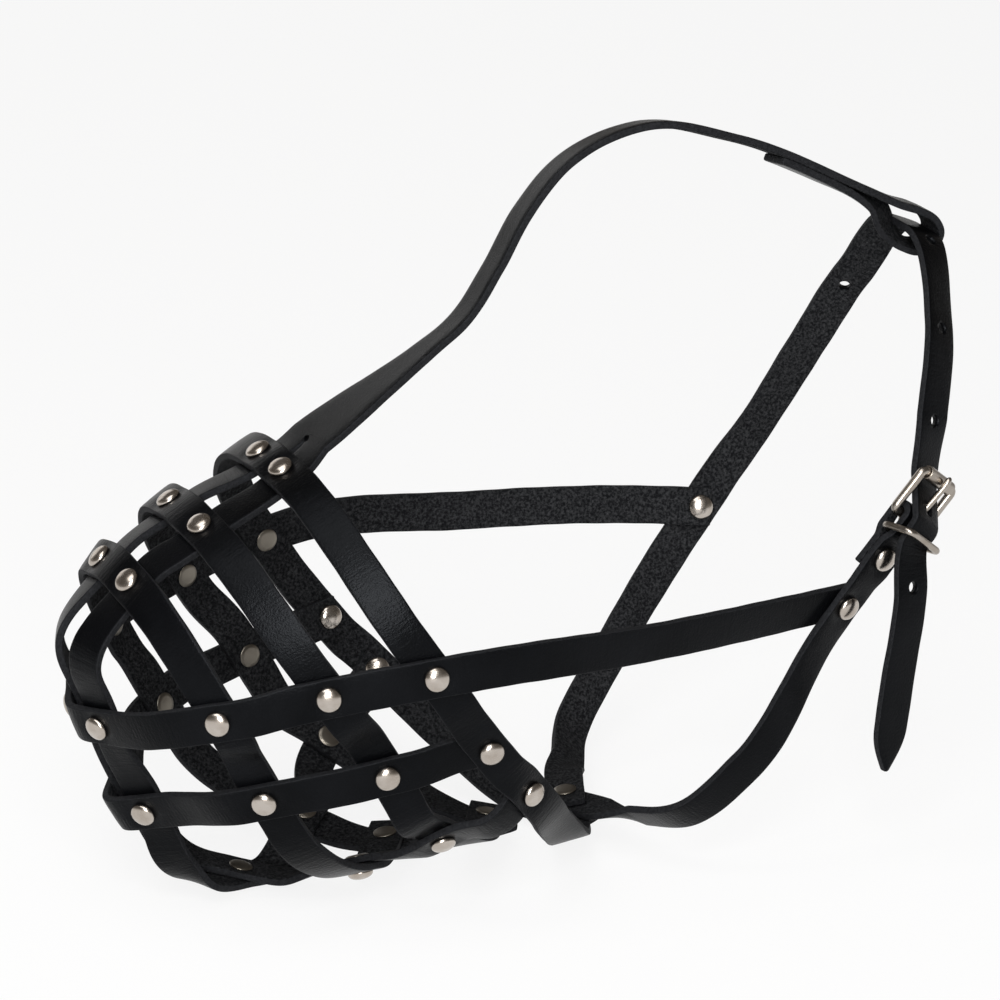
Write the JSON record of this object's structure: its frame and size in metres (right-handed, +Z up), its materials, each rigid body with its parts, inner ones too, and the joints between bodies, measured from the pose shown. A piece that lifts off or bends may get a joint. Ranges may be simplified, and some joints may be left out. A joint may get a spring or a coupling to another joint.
{
  "type": "basket muzzle",
  "caption": "Open basket muzzle for a large dog: riveted leather hoops and side straps round the snout, a forehead strap with a loop and a neck strap closed by a roller buckle.",
  "frame": {"origin": "middle of the base of the bounding box, where the under-jaw rivets stand on a table", "axes": "+X from the nose towards the neck, +Y to the wearer's right, +Z up from the jaw to the forehead"},
  "size_m": [0.2538, 0.1272, 0.1996],
  "materials": {
    "leather": "smooth black outer face, rough dark grey inner face",
    "nickel": "polished nickel plate"
  },
  "bodies": {
    "muzzle": {"buckle_strap": "leather", "forehead_strap": "leather", "front_hoop": "leather", "lower_side_strap": "leather", "middle_hoop": "leather", "neck_strap": "leather", "rear_hoop": "leather", "rivet_cheek_left": "nickel", "rivet_cheek_right": "nickel", "rivet_fold": "nickel", "rivet_front_bilge_left": "nickel", "rivet_front_bilge_right": "nickel", "rivet_front_keel": "nickel", "rivet_front_lower_left": "nickel", "rivet_front_lower_right": "nickel", "rivet_front_top_left": "nickel", "rivet_front_top_right": "nickel", "rivet_front_upper_left": "nickel", "rivet_front_upper_right": "nickel", "rivet_middle_bilge_left": "nickel", "rivet_middle_bilge_right": "nickel", "rivet_middle_keel": "nickel", "rivet_middle_lower_left": "nickel", "rivet_middle_lower_right": "nickel", "rivet_middle_top_left": "nickel", "rivet_middle_top_right": "nickel", "rivet_middle_upper_left": "nickel", "rivet_middle_upper_right": "nickel", "rivet_nose_crossing": "nickel", "rivet_nose_lower_left": "nickel", "rivet_nose_lower_right": "nickel", "rivet_nose_upper_left": "nickel", "rivet_nose_upper_right": "nickel", "rivet_rear_bilge_left": "nickel", "rivet_rear_bilge_right": "nickel", "rivet_rear_keel": "nickel", "rivet_rear_lower_left": "nickel", "rivet_rear_lower_right": "nickel", "rivet_rear_top_left": "nickel", "rivet_rear_top_right": "nickel", "rivet_rear_upper_left": "nickel", "rivet_rear_upper_right": "nickel", "upper_side_strap": "leather"},
    "buckle": {"buckle_frame": "nickel"},
    "roller": {"roller": "nickel"},
    "tongue": {"tongue": "nickel"},
    "keeper": {"keeper_ring": "nickel"}
  },
  "joints": [
    {"name": "buckle_swing", "type": "hinge", "parent": "muzzle", "child": "buckle", "pos_m": [0.09631, -0.045, 0.09394], "axis": [0.7422, 0.2897, -0.6044], "range_deg": [0, 5]},
    {"name": "roller_spin", "type": "hinge", "parent": "buckle", "child": "roller", "pos_m": [0.10454, -0.04567, 0.10373], "axis": [0.7422, 0.2897, -0.6044], "continuous": true},
    {"name": "tongue_lift", "type": "hinge", "parent": "buckle", "child": "tongue", "pos_m": [0.09631, -0.045, 0.09394], "axis": [0.7422, 0.2897, -0.6044], "range_deg": [0, 10]},
    {"name": "keeper_swing", "type": "hinge", "parent": "muzzle", "child": "keeper", "pos_m": [0.0931, -0.04474, 0.09012], "axis": [0.7422, 0.2897, -0.6044], "range_deg": [-3, 3]}
  ]
}
